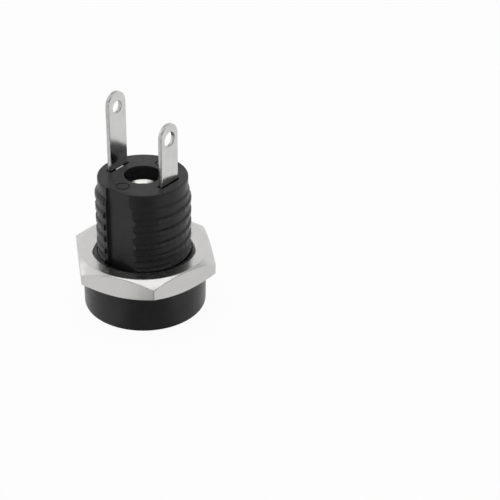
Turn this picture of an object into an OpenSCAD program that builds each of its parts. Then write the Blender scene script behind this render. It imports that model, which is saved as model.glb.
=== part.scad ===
// DC barrel jack for panel mounting, 5.5 mm barrel with a 2.1 mm pin.
// It stands on its front face: the plug goes in from below, along +Z.
// The axis of the jack is Z, the solder tabs lie along X, the thread's flats face +Y and -Y.

/* [Flange and barrel] */
// Diameter of the flange
flange_d = 14.1; // [13.6:0.1:16]
// Height of the flange, front rim to panel seat
flange_h = 4.5; // [3:0.1:6]
// Height of the threaded barrel above the flange
barrel_h = 10.2; // [9:0.1:14]
// Height of the plain neck above the thread
neck_h = 1.4; // [1:0.1:2.5]
// Diameter of the plain neck
neck_d = 10; // [9.4:0.1:10]
// Distance between the two flats on the barrel
flats_w = 9.3; // [9.1:0.05:9.8]
// Distance of the step that ends each flat from the middle plane
flat_step_x = 1.1; // [0.6:0.1:1.5]

/* [Thread] */
// Crest diameter of the thread
thread_d = 10.7; // [10.5:0.1:11.5]
// Depth of the thread
thread_depth = 0.2; // [0.16:0.02:0.3]
// Pitch of the thread
pitch = 1.5; // [1.2:0.1:2]

/* [Hexagon nut] */
// Width of the nut across its flats
nut_af = 15; // [14.5:0.1:17]
// Thickness of the nut
nut_h = 2.6; // [2:0.1:3]
// Turn of the nut about the axis, from a corner on +X
nut_turn = 15.6; // [0:0.1:60]
// Diameter of the countersink in the nut's upper face
nut_sink_d = 12.2; // [11.8:0.1:13.5]

/* [Face ring] */
// Diameter of the metal ring in the front face
ring_d = 12.7; // [12:0.1:12.9]
// Diameter of the ring's flat face, inside its bevel
ring_face_d = 11.2; // [10:0.1:11.8]
// How far the ring stands proud of the flange's rim
ring_proud = 0.4; // [0.2:0.05:0.8]

/* [Plug socket] */
// Bore that takes the plug's barrel
socket_d = 5.8; // [5.6:0.1:6]
// Depth of the socket from the front face
socket_depth = 12; // [10:0.1:12]
// Diameter of the centre pin
pin_d = 2.1; // [1.9:0.1:2.5]
// Distance of the pin's tip behind the front face
pin_setback = 2.6; // [2.2:0.1:4]

/* [Solder tabs] */
// Distance of each tab's middle from the axis
tab_r = 3.4; // [3.3:0.05:3.6]
// Sideways offset of each tab from the middle plane, opposite on the two sides
tab_offset = 0.2; // [0:0.05:0.3]
// Width of a tab
tab_w = 2.8; // [2.4:0.1:3]
// Thickness of the sheet metal
tab_t = 0.5; // [0.4:0.05:0.6]
// Height of the pin's tab above the rear face
long_tab_h = 9; // [6:0.1:12]
// Height of the sleeve contact's tab above the rear face
short_tab_h = 7; // [5:0.1:10]
// Diameter of the eyelet in the long tab
long_eyelet_d = 1.4; // [1.2:0.1:1.8]
// Diameter of the eyelet in the short tab
short_eyelet_d = 1.7; // [1.2:0.1:1.8]

/* [Hidden] */
$fn = 96;
// Room added to a cutting shape so that it passes cleanly through a face
eps = 0.5;

// Levels along the axis, from the front face at zero
rim_z = ring_proud;
seat_z = rim_z + flange_h;
thread_top_z = seat_z + barrel_h;
rear_z = thread_top_z + neck_h;

// Thread
root_r = thread_d / 2 - thread_depth;
crest_w = 0.32 * pitch;
thread_embed = 0.08;
flank_w = (thread_depth + thread_embed) * tan(48);
thread_z0 = seat_z + 0.55 * pitch;
thread_run_out = 0.45;
fade_turns = 0.12;
turn_steps = 36;
nut_play = 0.05;
neck_cone_h = 0.3;

// Ring and socket
ring_seat_h = 0.5;
funnel_d = 7.1;
funnel_h = 1.4;
sleeve_d = 7.4;
// The ring's sleeve ends just in front of the pin's tip
sleeve_end_z = pin_setback - 0.05;
cavity_d = socket_d + 0.6;
face_edge_r = 0.12;

// Rear of the housing
rear_bore_d = 4.2;
rear_bore_depth = 2;
plate_top_z = rear_z - rear_bore_depth;
plate_z = plate_top_z - tab_t;
plate_d = 3.9;
slot_mouth_gap = 0.16;
slot_mouth_h = 0.5;
lug_w = 1.2;
eyelet_drop = 1.75;
lug_drop = 0.03;
flat_cut_w = 4;
mark_d = 1.55;
mark_w = 0.15;
mark_depth = 0.12;
mark_r = 3.4;
edge_r = 0.25;
rear_edge_r = 0.12;
land_w = 0.35;
front_edge_r = 0.2;

// Centre pin
pin_tip_r = 0.7;
collar_d = 2.8;
collar_z = socket_depth - (collar_d - pin_d) / 2;
tail_d = 1.4;
head_d = 4.1;
head_rim_w = 0.05;
head_rim_h = 0.38;
head_dish_d = 3;
head_t = 0.1;

// Spring blade of the sleeve contact, which presses on the sleeve of a plug
plug_r = 2.75;
blade_w = 2;
blade_end_z = 5.2;
blade_root_z = 11.4;
blade_bump_z = 7.6;
blade_press = 0.12;
pocket_x0 = 2.2;
pocket_x1 = tab_r + tab_t / 2 + 0.15;
pocket_w = blade_w + 0.5;
pocket_z0 = 4.6;

// Nut
nut_corner_r = nut_af / 2 / cos(30);
nut_chamfer_r = nut_af / 2 * 0.975;
nut_chamfer_angle = 28;
nut_bore_r = root_r + nut_play;
nut_sink_h = 0.38;
nut_lower_sink_r = thread_d / 2 + 0.25;

// A ridge that climbs round the axis as a right-hand helix and fades out at both ends
function fade(u, turns) = min(1, max(0.02, min(u, turns - u) / fade_turns));

module helix_ridge(r_in, r_out, w_in, w_out, z0, turns) {
    steps = ceil(turns * turn_steps);
    rings = [for (i = [0 : steps]) let (u = turns * i / steps, a = 360 * u + 360 * z0 / pitch,
            z = z0 + u * pitch, r = r_in + (r_out - r_in) * fade(u, turns))
        each [[r_in * cos(a), r_in * sin(a), z - w_in / 2],
            [r * cos(a), r * sin(a), z - w_out / 2],
            [r * cos(a), r * sin(a), z + w_out / 2],
            [r_in * cos(a), r_in * sin(a), z + w_in / 2]]];
    sides = [for (i = [0 : steps - 1], k = [0 : 3]) let (a = 4 * i + k, b = 4 * i + (k + 1) % 4)
        each [[a, b, b + 4], [a, b + 4, a + 4]]];
    last = 4 * steps;
    polyhedron(points = rings,
        faces = concat(sides, [[3, 2, 1, 0], [last, last + 1, last + 2, last + 3]]));
}

// Body of revolution of the housing, with its flange, its barrel at the thread's root and its neck
module housing_body() {
    rotate_extrude()
        polygon(concat(
            [[0, rim_z]],
            arc_points(flange_d / 2 - front_edge_r, rim_z + front_edge_r, front_edge_r, -90, 0),
            arc_points(flange_d / 2 - edge_r, seat_z - edge_r, edge_r, 0, 90),
            [[root_r, seat_z], [root_r, thread_top_z - neck_cone_h],
                [neck_d / 2, thread_top_z]],
            arc_points(neck_d / 2 - rear_edge_r, rear_z - rear_edge_r, rear_edge_r, 0, 90),
            [[0, rear_z]]));
}

function arc_points(x, y, r, a0, a1, n = 6) =
    [for (i = [0 : n]) let (a = a0 + (a1 - a0) * i / n) [x + r * cos(a), y + r * sin(a)]];

// Thread of the barrel, which leaves a plain land beside the step of each flat
module barrel_thread() {
    turns = (thread_top_z - thread_run_out - thread_z0) / pitch;
    difference() {
        helix_ridge(root_r - thread_embed, thread_d / 2, crest_w + 2 * flank_w, crest_w, thread_z0, turns);
        for (turn = [0, 180])
            rotate([0, 0, turn])
                translate([-flat_step_x - land_w, -flange_d / 2, seat_z])
                cube([land_w + flat_step_x / 2, flange_d / 2, barrel_h]);
    }
}

// Tab of sheet metal that stands along Z, with a round end and an eyelet
module tab(side, z0, z1, eyelet_d) {
    end_r = tab_w / 2;
    translate([side * tab_r - tab_t / 2, side * tab_offset, 0])
        rotate([90, 0, 90])
        linear_extrude(tab_t)
        difference() {
            union() {
                translate([-tab_w / 2, z0])
                    square([tab_w, z1 - end_r - z0]);
                translate([0, z1 - end_r])
                    circle(r = end_r);
            }
            translate([0, z1 - eyelet_drop])
                circle(d = eyelet_d);
        }
}

// Shallow round groove left by an ejector pin
module ring_mark() {
    linear_extrude(mark_depth + eps)
        difference() {
            circle(d = mark_d);
            circle(d = mark_d - 2 * mark_w);
        }
}

// Slot that holds a tab, with a wider mouth at the rear face
module tab_slot(side, z0) {
    mouth_t = tab_t + 2 * slot_mouth_gap;
    mouth_w = tab_w + 2 * slot_mouth_gap;
    translate([side * tab_r, side * tab_offset, 0]) {
        translate([-tab_t / 2, -tab_w / 2, z0])
            cube([tab_t, tab_w, rear_z - z0 + eps]);
        translate([-mouth_t / 2, -mouth_w / 2, rear_z - slot_mouth_h])
            cube([mouth_t, mouth_w, slot_mouth_h + eps]);
    }
}

// Flat plate under the rear bore, with the arm that leads to the pin's tab
module terminal_plate() {
    translate([0, 0, plate_z])
        cylinder(d = plate_d, h = tab_t);
    translate([-tab_r - tab_t / 2, -tab_w / 2 - tab_offset, plate_z])
        cube([tab_r + tab_t / 2, tab_w, tab_t]);
}

// Outline of the spring blade in the XZ plane: straight at its root, bowed in towards the plug
function blade_x(z) = z > blade_root_z ? tab_r
    : tab_r - (tab_r - tab_t / 2 - plug_r + blade_press)
        * (0.5 - 0.5 * cos(180 * min(1, (blade_root_z - z) / (blade_root_z - blade_bump_z))))
        + (z < blade_bump_z ? 0.3 * (1 - cos(90 * (blade_bump_z - z) / (blade_bump_z - blade_end_z))) : 0);

module housing() {
    color("#26262a")
        difference() {
            union() {
                housing_body();
                barrel_thread();
            }
            // Flats of the barrel, each open to one side and ended by a step on the other
            for (turn = [0, 180])
                rotate([0, 0, turn])
                    translate([-flat_step_x, -flats_w / 2 - flat_cut_w, seat_z])
                    cube([flange_d, flat_cut_w, rear_z - seat_z + eps]);
            // Seat of the face ring and its sleeve
            translate([0, 0, rim_z - eps])
                cylinder(d = ring_d, h = ring_seat_h + eps);
            translate([0, 0, rim_z])
                cylinder(d = sleeve_d, h = sleeve_end_z - rim_z);
            // Socket
            translate([0, 0, rim_z])
                cylinder(d = cavity_d, h = socket_depth - rim_z);
            // Pocket of the spring blade and slot of its tab
            translate([pocket_x0, -pocket_w / 2, pocket_z0])
                cube([pocket_x1 - pocket_x0, pocket_w, socket_depth - pocket_z0]);
            tab_slot(1, socket_depth - eps);
            // Pin, plate and tab of the pin's terminal
            cylinder(d = collar_d, h = plate_z + eps / 5);
            terminal_plate();
            tab_slot(-1, plate_z);
            // Rear bore and the two ring marks beside it
            translate([0, 0, plate_top_z])
                cylinder(d = rear_bore_d, h = rear_bore_depth + eps);
            for (side = [-1, 1])
                translate([0, side * mark_r, rear_z - mark_depth])
                    ring_mark();
        }
}

module face_ring() {
    color("#d8d8d6")
        rotate_extrude()
        polygon([[funnel_d / 2 + face_edge_r, 0], [ring_face_d / 2, 0], [ring_d / 2, rim_z],
            [ring_d / 2, rim_z + ring_seat_h], [sleeve_d / 2, rim_z + ring_seat_h],
            [sleeve_d / 2, sleeve_end_z], [socket_d / 2, sleeve_end_z], [socket_d / 2, funnel_h],
            [funnel_d / 2, face_edge_r]]);
}

module centre_pin() {
    color("#c9c9c7")
        rotate_extrude()
        polygon(concat(
            [[0, pin_setback]],
            arc_points(pin_d / 2 - pin_tip_r, pin_setback + pin_tip_r, pin_tip_r, -90, 0),
            [[pin_d / 2, collar_z], [collar_d / 2, socket_depth], [collar_d / 2, plate_z],
                [tail_d / 2, plate_z], [tail_d / 2, plate_top_z],
                [head_d / 2, plate_top_z], [head_d / 2, plate_top_z + head_rim_h],
                [head_d / 2 - head_rim_w, plate_top_z + head_rim_h],
                [head_dish_d / 2, plate_top_z + head_t], [0, plate_top_z + head_t]]));
}

module pin_terminal() {
    color("#cfcfcb")
        difference() {
            union() {
                terminal_plate();
                tab(-1, plate_z, rear_z + long_tab_h, long_eyelet_d);
                // Lug pressed out of the tab, which fills the mouth of its slot
                translate([tab_t / 2 - tab_r - eps / 5, -lug_w / 2 - tab_offset, rear_z - slot_mouth_h])
                    cube([slot_mouth_gap + eps / 5, lug_w, slot_mouth_h - lug_drop]);
            }
            translate([0, 0, plate_z - eps])
                cylinder(d = tail_d, h = tab_t + 2 * eps);
        }
}

module sleeve_contact() {
    rows = 24;
    zs = [for (i = [0 : rows]) blade_end_z + (socket_depth - blade_end_z) * i / rows];
    color("#cfcfcb") {
        tab(1, socket_depth, rear_z + short_tab_h, short_eyelet_d);
        translate([0, blade_w / 2, 0])
            rotate([90, 0, 0])
            linear_extrude(blade_w)
            polygon(concat(
                [for (z = zs) [blade_x(z) + tab_t / 2, z]],
                [for (i = [rows : -1 : 0]) [blade_x(zs[i]) - tab_t / 2, zs[i]]]));
    }
}

// Double cone that chamfers the corners of the nut's blank on both faces
module nut_chamfers() {
    reach_r = nut_corner_r + 0.3;
    slope = tan(nut_chamfer_angle);
    rotate_extrude()
        polygon([[0, seat_z], [nut_chamfer_r, seat_z],
            [reach_r, seat_z + (reach_r - nut_chamfer_r) * slope],
            [reach_r, seat_z + nut_h - (reach_r - nut_chamfer_r) * slope],
            [nut_chamfer_r, seat_z + nut_h], [0, seat_z + nut_h]]);
}

// Bore of the nut at its thread's crest, with a countersink at each face
module nut_bore() {
    sink_w = nut_sink_d / 2 - nut_bore_r;
    lower_w = nut_lower_sink_r - nut_bore_r;
    rotate_extrude()
        polygon([[0, seat_z - eps], [nut_lower_sink_r + eps, seat_z - eps],
            [nut_bore_r, seat_z + lower_w],
            [nut_bore_r, seat_z + nut_h - nut_sink_h],
            [nut_bore_r + sink_w * (1 + eps / nut_sink_h), seat_z + nut_h + eps],
            [0, seat_z + nut_h + eps]]);
}

module hex_nut() {
    color("#c8c8c4")
        difference() {
            intersection() {
                translate([0, 0, seat_z])
                    rotate([0, 0, nut_turn])
                    cylinder(r = nut_corner_r, h = nut_h, $fn = 6);
                nut_chamfers();
            }
            nut_bore();
            helix_ridge(root_r - thread_embed, thread_d / 2 + nut_play,
                crest_w + 2 * flank_w + 2 * nut_play, crest_w + 2 * nut_play,
                thread_z0 - 2 * pitch, (nut_h + 3 * pitch) / pitch);
        }
}

housing();
face_ring();
centre_pin();
pin_terminal();
sleeve_contact();
hex_nut();
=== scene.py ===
"""Looks of a panel-mount DC barrel jack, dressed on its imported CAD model. Metres, +Z up."""
import math

import bpy
from mathutils import Matrix, Vector

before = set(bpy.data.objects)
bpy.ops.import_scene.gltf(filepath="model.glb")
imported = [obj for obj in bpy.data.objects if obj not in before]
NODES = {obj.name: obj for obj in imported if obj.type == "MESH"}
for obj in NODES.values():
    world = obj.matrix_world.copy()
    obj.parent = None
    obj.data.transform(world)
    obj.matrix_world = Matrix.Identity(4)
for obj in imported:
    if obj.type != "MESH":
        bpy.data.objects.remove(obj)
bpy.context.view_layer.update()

MM = 0.001
# Distances from the axis in millimetres: of a tab's middle, of the place where the crest's polish starts,
# and of the outer edge of the nut's countersink
TAB_MIDDLE = 3.4
CREST_FROM = 5.2
SINK_EDGE = 6.1
# How far the grain of a surface and the drawn lines of the sheet rise, and how near points are to be welded
GRAIN_RISE = 0.01 * MM
LINE_RISE = 0.002 * MM
WELD_GAP = 0.001 * MM

# ---------------------------------------------------------------- camera
# The camera stands round the jack's axis by this angle, from the -Y side towards +X.
CAM_AZIMUTH = 39.66
CAM_AWAY = 108.05 * MM
CAM_HEIGHT = 73.10 * MM
# How the camera is turned from facing the jack's axis: to the right, down and about its own line of sight
CAM_PAN = 6.407
CAM_DOWN = 31.511
CAM_ROLL = -1.989
LENS = 79.42


def add_camera():
    """The camera at the photo's side, height and length of lens."""
    pan, down, roll = (math.radians(a) for a in (CAM_PAN, CAM_DOWN, CAM_ROLL))
    sight = Vector((math.sin(pan) * math.cos(down), math.cos(pan) * math.cos(down), -math.sin(down)))
    level = Vector((math.cos(pan), -math.sin(pan), 0))
    below = sight.cross(level)
    right = math.cos(roll) * level + math.sin(roll) * below
    up = math.sin(roll) * level - math.cos(roll) * below
    turn = Matrix((right, up, -sight)).transposed().to_4x4()
    place = Matrix.Translation((0, -CAM_AWAY, CAM_HEIGHT))
    data = bpy.data.cameras.new("camera")
    data.lens = LENS
    data.sensor_width = 36
    data.clip_start = 0.005
    camera = bpy.data.objects.new("camera", data)
    camera.matrix_world = Matrix.Rotation(math.radians(CAM_AZIMUTH), 4, "Z") @ place @ turn
    bpy.context.scene.collection.objects.link(camera)
    bpy.context.scene.camera = camera


# ---------------------------------------------------------------- materials
class Nodes:
    """Short names for building a node tree."""

    def __init__(self, name):
        self.material = bpy.data.materials.new(name)
        self.material.use_nodes = True
        self.tree = self.material.node_tree
        self.shader = self.tree.nodes["Principled BSDF"]
        self.output = self.tree.nodes["Material Output"]

    def add(self, kind, **sockets):
        node = self.tree.nodes.new(kind)
        for key, value in sockets.items():
            name = key.replace("_", " ")
            if name in node.inputs:
                node.inputs[name].default_value = value
            else:
                setattr(node, key, value)
        return node

    def link(self, a, b):
        self.tree.links.new(a, b)

    def set(self, **sockets):
        for key, value in sockets.items():
            self.shader.inputs[key.replace("_", " ")].default_value = value

    def place(self, stretch=(1, 1, 1)):
        """The point on the piece in millimetres, stretched."""
        coordinates = self.add("ShaderNodeTexCoord")
        mapping = self.add("ShaderNodeMapping")
        mapping.inputs["Scale"].default_value = [1000 * s for s in stretch]
        self.link(coordinates.outputs["Object"], mapping.inputs["Vector"])
        return mapping.outputs["Vector"]

    def radius(self):
        """Distance from the jack's axis in millimetres."""
        node = self.add("ShaderNodeVectorMath", operation="LENGTH")
        self.link(self.place((1, 1, 0)), node.inputs[0])
        return node.outputs["Value"]

    def math(self, operation, *values):
        node = self.add("ShaderNodeMath", operation=operation)
        for socket, value in zip(node.inputs, values):
            if isinstance(value, (int, float)):
                socket.default_value = value
            else:
                self.link(value, socket)
        return node.outputs[0]

    def noise(self, where, scale, detail=3.0, rough=0.5):
        node = self.add("ShaderNodeTexNoise", Scale=scale, Detail=detail, Roughness=rough)
        self.link(where, node.inputs["Vector"])
        return node.outputs["Fac"]

    def span(self, value, low, high, start=0.3, end=0.7):
        node = self.add("ShaderNodeMapRange", From_Min=start, From_Max=end, To_Min=low, To_Max=high)
        self.link(value, node.inputs["Value"])
        return node.outputs["Result"]

    def tint(self, value, dark, light, start=0.35, end=0.65):
        node = self.add("ShaderNodeValToRGB")
        ramp = node.color_ramp
        ramp.elements[0].position, ramp.elements[1].position = start, end
        ramp.elements[0].color = (*dark, 1)
        ramp.elements[1].color = (*light, 1)
        self.link(value, node.inputs["Fac"])
        return node.outputs["Color"]

    def bump(self, height, strength, distance, edge=0.0):
        """Relief from a height, over edges rounded by the radius edge."""
        node = self.add("ShaderNodeBump", Strength=strength, Distance=distance)
        if edge:
            soft = self.add("ShaderNodeBevel", samples=8, Radius=edge)
            self.link(soft.outputs["Normal"], node.inputs["Normal"])
        self.link(height, node.inputs["Height"])
        self.link(node.outputs["Normal"], self.shader.inputs["Normal"])


def black_plastic():
    """Moulded thermoplastic: soft mottle, orange-peel relief, crests of the thread polished by the nut."""
    n = Nodes("black_plastic")
    n.set(Specular_IOR_Level=0.26)
    where = n.place()
    mottle = n.noise(where, 0.5, 4)
    n.link(n.tint(mottle, (0.016, 0.016, 0.017), (0.023, 0.023, 0.024)), n.shader.inputs["Base Color"])
    crest = n.span(n.radius(), 0.0, -0.1, CREST_FROM, CREST_FROM + 0.1)
    n.link(n.math("ADD", n.span(n.noise(where, 1.1, 5), 0.28, 0.42), crest), n.shader.inputs["Roughness"])
    n.bump(n.noise(where, 7, 4, 0.6), 0.1, GRAIN_RISE, 0.1 * MM)
    return n.material


def plate(name, colour, low, high, grain, strength, edge):
    """Nodes of nickel plate and its roughness, from low to high. The radius edge is in millimetres."""
    n = Nodes(name)
    n.set(Metallic=1.0)
    where = n.place()
    pale = tuple(min(1, c * 1.05) for c in colour)
    n.link(n.tint(n.noise(where, 0.8, 4), colour, pale), n.shader.inputs["Base Color"])
    n.bump(n.noise(where, grain, 4, 0.6), strength, GRAIN_RISE, edge * MM)
    return n, n.span(n.noise(where, 1.6, 5), low, high)


def nickel(name, colour, low, high, grain, strength):
    """Bright nickel plate."""
    n, rough = plate(name, colour, low, high, grain, strength, 0.06)
    n.link(rough, n.shader.inputs["Roughness"])
    return n.material


def turned_nickel(name, colour, low, high, spread, grain, strength, edge):
    """Nickel plate on a turned face: the tool's marks run round the axis and spread its gloss outwards."""
    n, rough = plate(name, colour, low, high, grain, strength, edge)
    n.set(Anisotropic=spread, Anisotropic_Rotation=0.25)
    tangent = n.add("ShaderNodeTangent", direction_type="RADIAL", axis="Z")
    n.link(tangent.outputs["Tangent"], n.shader.inputs["Tangent"])
    # The countersink is smoother than the face round it
    smooth = n.span(n.radius(), 0.3, 1.0, SINK_EDGE - 0.1, SINK_EDGE)
    n.link(n.math("MULTIPLY", rough, smooth), n.shader.inputs["Roughness"])
    return n.material


def tinned_sheet():
    """Tin-plated sheet: faint drawn lines on its faces, a smooth and a torn band on its sheared edges."""
    n = Nodes("tab_tin")
    n.set(Metallic=1.0)
    where = n.place()
    along = n.place((3, 3, 0.12))
    facing = n.add("ShaderNodeNewGeometry")
    parts = n.add("ShaderNodeSeparateXYZ")
    n.link(facing.outputs["True Normal"], parts.inputs[0])
    side = n.math("LESS_THAN", n.math("ABSOLUTE", parts.outputs["X"]), 0.5)
    colour = n.add("ShaderNodeMix", data_type="RGBA")
    n.link(side, colour.inputs["Factor"])
    n.link(n.tint(n.noise(where, 0.9, 4), (0.66, 0.66, 0.65), (0.71, 0.71, 0.7)), colour.inputs[6])
    n.link(n.tint(n.noise(where, 2.2, 4), (0.46, 0.46, 0.455), (0.6, 0.6, 0.59)), colour.inputs[7])
    n.link(colour.outputs[2], n.shader.inputs["Base Color"])
    across = n.add("ShaderNodeSeparateXYZ")
    n.link(where, across.inputs[0])
    depth = n.math("SUBTRACT", n.math("ABSOLUTE", across.outputs["X"]), TAB_MIDDLE)
    ragged = n.math("MULTIPLY_ADD", n.noise(n.place((1, 1, 3)), 3, 3), 0.12, depth)
    torn = n.math("MULTIPLY", n.span(ragged, 0, 1, 0.06, 0.1), side)
    face = n.span(n.noise(along, 2.0, 4), 0.15, 0.2)
    n.link(n.math("MULTIPLY_ADD", torn, 0.25, face), n.shader.inputs["Roughness"])
    tear = n.math("MULTIPLY", torn, n.noise(where, 12, 3))
    relief = n.math("MULTIPLY_ADD", tear, 6.0, n.noise(along, 2.0, 2))
    n.bump(relief, 0.3, LINE_RISE, 0.08 * MM)
    return n.material


def dress(node, material):
    """Gives a CAD node its material."""
    mesh = NODES[node].data
    mesh.materials.clear()
    mesh.materials.append(material)


def round_edges(node, width, angle, segments=3):
    """Rounds the edges of a CAD node that are sharper than angle, in degrees."""
    piece = NODES[node]
    weld = piece.modifiers.new("weld", "WELD")
    weld.merge_threshold = WELD_GAP
    # Flat faces become whole again, so that the bevel has room on them
    merge = piece.modifiers.new("merge_flats", "DECIMATE")
    merge.decimate_type = "DISSOLVE"
    merge.angle_limit = math.radians(0.5)
    bevel = piece.modifiers.new("round_edges", "BEVEL")
    bevel.width = width
    bevel.segments = segments
    bevel.limit_method = "ANGLE"
    bevel.angle_limit = math.radians(angle)


# ---------------------------------------------------------------- stage
FLOOR_SIZE = 3.0
# How white the floor is for each kind of ray, over what its own colour gives
FLOOR_GLOW = (("Is Camera Ray", 0.95), ("Is Glossy Ray", 0.6), ("Is Transmission Ray", 0.8))
# The painted shade on the floor, a dark patch that only gloss shows, standing in for the shaded floor in
# front of the jack:
# its direction, how much of the floor it hides, its glow, and the cosines between which it fades in
PAINTED_SHADE_AZIMUTH = 43
PAINTED_SHADE_SHARE = 0.75
PAINTED_SHADE_GLOW = 0.08
PAINTED_SHADE_SPREAD = (0.8, 0.97)
# The dark part of the wall behind it: how dark it is, the cosines between which it fades in, and the
# heights, as sines, between which it begins
WALL_SHARE = 0.85
WALL_SPREAD = (0.0, 0.4)
WALL_BASE = (0.3, 0.42)
# The studio as gloss shows it: how bright the wall and the ceiling are, and the heights, as sines,
# between which they meet
WALL_GLOW = 0.9
CEILING_GLOW = 0.55
WALL_TOP = (0.56, 0.72)
# The soft light from all sides on what isn't gloss
FILL = 0.46


def painted_shade_heading():
    """The level direction in which the painted shade on the floor and the dark part of the wall lie."""
    a = math.radians(PAINTED_SHADE_AZIMUTH)
    return math.sin(a), -math.cos(a), 0


def add_floor():
    """A white floor that keeps the jack's shadow, with a painted shade on it that only gloss shows."""
    bpy.ops.mesh.primitive_plane_add(size=FLOOR_SIZE)
    floor = bpy.context.object
    floor.name = "floor"
    n = Nodes("floor")
    n.set(Base_Color=(0.9, 0.9, 0.9, 1), Roughness=0.9, Specular_IOR_Level=0.1)
    glow = n.add("ShaderNodeEmission", Color=(1, 1, 1, 1), Strength=1.0)
    mix = n.add("ShaderNodeMixShader")
    rays = n.add("ShaderNodeLightPath")
    total = 0.0
    for name, share in FLOOR_GLOW:
        total = n.math("MULTIPLY_ADD", rays.outputs[name], share, total)
    n.link(total, mix.inputs["Fac"])
    n.link(n.shader.outputs[0], mix.inputs[1])
    n.link(glow.outputs[0], mix.inputs[2])
    coordinates = n.add("ShaderNodeTexCoord")
    heading = n.add("ShaderNodeVectorMath", operation="NORMALIZE")
    n.link(coordinates.outputs["Object"], heading.inputs[0])
    ahead = n.add("ShaderNodeVectorMath", operation="DOT_PRODUCT")
    n.link(heading.outputs["Vector"], ahead.inputs[0])
    ahead.inputs[1].default_value = painted_shade_heading()
    # Painted shade: for glossy rays only, the floor turns dark in front of the jack, so its front reflects
    # shade
    painted_shade = n.span(ahead.outputs["Value"], 0, PAINTED_SHADE_SHARE, *PAINTED_SHADE_SPREAD)
    dark = n.add("ShaderNodeEmission", Color=(1, 1, 1, 1), Strength=PAINTED_SHADE_GLOW)
    second = n.add("ShaderNodeMixShader")
    n.link(n.math("MULTIPLY", painted_shade, rays.outputs["Is Glossy Ray"]), second.inputs["Fac"])
    n.link(mix.outputs[0], second.inputs[1])
    n.link(dark.outputs[0], second.inputs[2])
    n.link(second.outputs[0], n.output.inputs["Surface"])
    floor.data.materials.append(n.material)


def add_world():
    """White for the camera; for gloss a pale wall and a dimmer ceiling, both dark in the painted shade's
    direction.
    """
    world = bpy.data.worlds.new("studio")
    bpy.context.scene.world = world
    world.use_nodes = True
    tree = world.node_tree
    tree.nodes.clear()

    def background(strength):
        node = tree.nodes.new("ShaderNodeBackground")
        node.inputs["Color"].default_value = (1, 1, 1, 1)
        node.inputs["Strength"].default_value = strength
        return node

    def mix(share, low, high):
        node = tree.nodes.new("ShaderNodeMixShader")
        for socket, source in zip(node.inputs, (share, low.outputs[0], high.outputs[0])):
            tree.links.new(source, socket)
        return node

    def fade(source, start, end, low, high):
        """Goes softly from low to high while source goes from start to end."""
        node = tree.nodes.new("ShaderNodeMapRange")
        node.interpolation_type = "SMOOTHSTEP"
        for name, value in zip(("From Min", "From Max", "To Min", "To Max"), (start, end, low, high)):
            node.inputs[name].default_value = value
        tree.links.new(source, node.inputs["Value"])
        return node.outputs["Result"]

    def join(operation, one, two):
        node = tree.nodes.new("ShaderNodeMath")
        node.operation = operation
        tree.links.new(one, node.inputs[0])
        tree.links.new(two, node.inputs[1])
        return node.outputs[0]

    rays = tree.nodes.new("ShaderNodeLightPath")
    direction = tree.nodes.new("ShaderNodeTexCoord").outputs["Generated"]
    height = tree.nodes.new("ShaderNodeSeparateXYZ")
    tree.links.new(direction, height.inputs[0])
    heading = tree.nodes.new("ShaderNodeVectorMath")
    heading.operation = "DOT_PRODUCT"
    heading.inputs[1].default_value = painted_shade_heading()
    tree.links.new(direction, heading.inputs[0])

    wall = fade(height.outputs["Z"], *WALL_TOP, WALL_GLOW, CEILING_GLOW)
    shade = fade(heading.outputs["Value"], *WALL_SPREAD, 1.0, 1 - WALL_SHARE)
    low = fade(height.outputs["Z"], *WALL_BASE, 1.0, 0.0)
    gloss = background(1.0)
    tree.links.new(join("MULTIPLY", wall, join("MAXIMUM", low, shade)), gloss.inputs["Strength"])
    seen = join("MAXIMUM", rays.outputs["Is Camera Ray"], rays.outputs["Is Transmission Ray"])
    lit = mix(rays.outputs["Is Glossy Ray"], background(FILL), gloss)
    out = tree.nodes.new("ShaderNodeOutputWorld")
    tree.links.new(mix(seen, lit, background(1.0)).outputs[0], out.inputs["Surface"])


def add_lamp(name, azimuth, elevation, away, size, power):
    """A square soft lamp that faces the jack from azimuth and elevation in degrees."""
    data = bpy.data.lights.new(name, "AREA")
    data.size = size
    data.energy = power
    lamp = bpy.data.objects.new(name, data)
    a, e = math.radians(azimuth), math.radians(elevation)
    towards = Vector((math.sin(a) * math.cos(e), -math.cos(a) * math.cos(e), math.sin(e)))
    lamp.location = towards * away + Vector((0, 0, 10 * MM))
    lamp.rotation_euler = towards.to_track_quat("Z", "Y").to_euler()
    bpy.context.scene.collection.objects.link(lamp)


add_camera()
bpy.context.scene.view_settings.view_transform = "Standard"

dress("housing", black_plastic())
dress("face_ring", nickel("ring_nickel", (0.74, 0.73, 0.71), low=0.05, high=0.12, grain=6, strength=0.1))
dress("hex_nut", turned_nickel("nut_nickel", (0.63, 0.625, 0.615), low=0.18, high=0.26, spread=0.6,
                               grain=3, strength=0.12, edge=0.15))
dress("centre_pin", nickel("pin_nickel", (0.62, 0.61, 0.59), low=0.08, high=0.16, grain=5, strength=0.2))
tin = tinned_sheet()
for tab in ("pin_terminal", "sleeve_contact"):
    dress(tab, tin)
    round_edges(tab, 0.07 * MM, angle=40)
round_edges("hex_nut", 0.13 * MM, angle=20)

add_floor()
add_world()
add_lamp("top", azimuth=0, elevation=89, away=0.5, size=0.45, power=0.54)
add_lamp("key", azimuth=290, elevation=35, away=0.5, size=0.4, power=0.2)
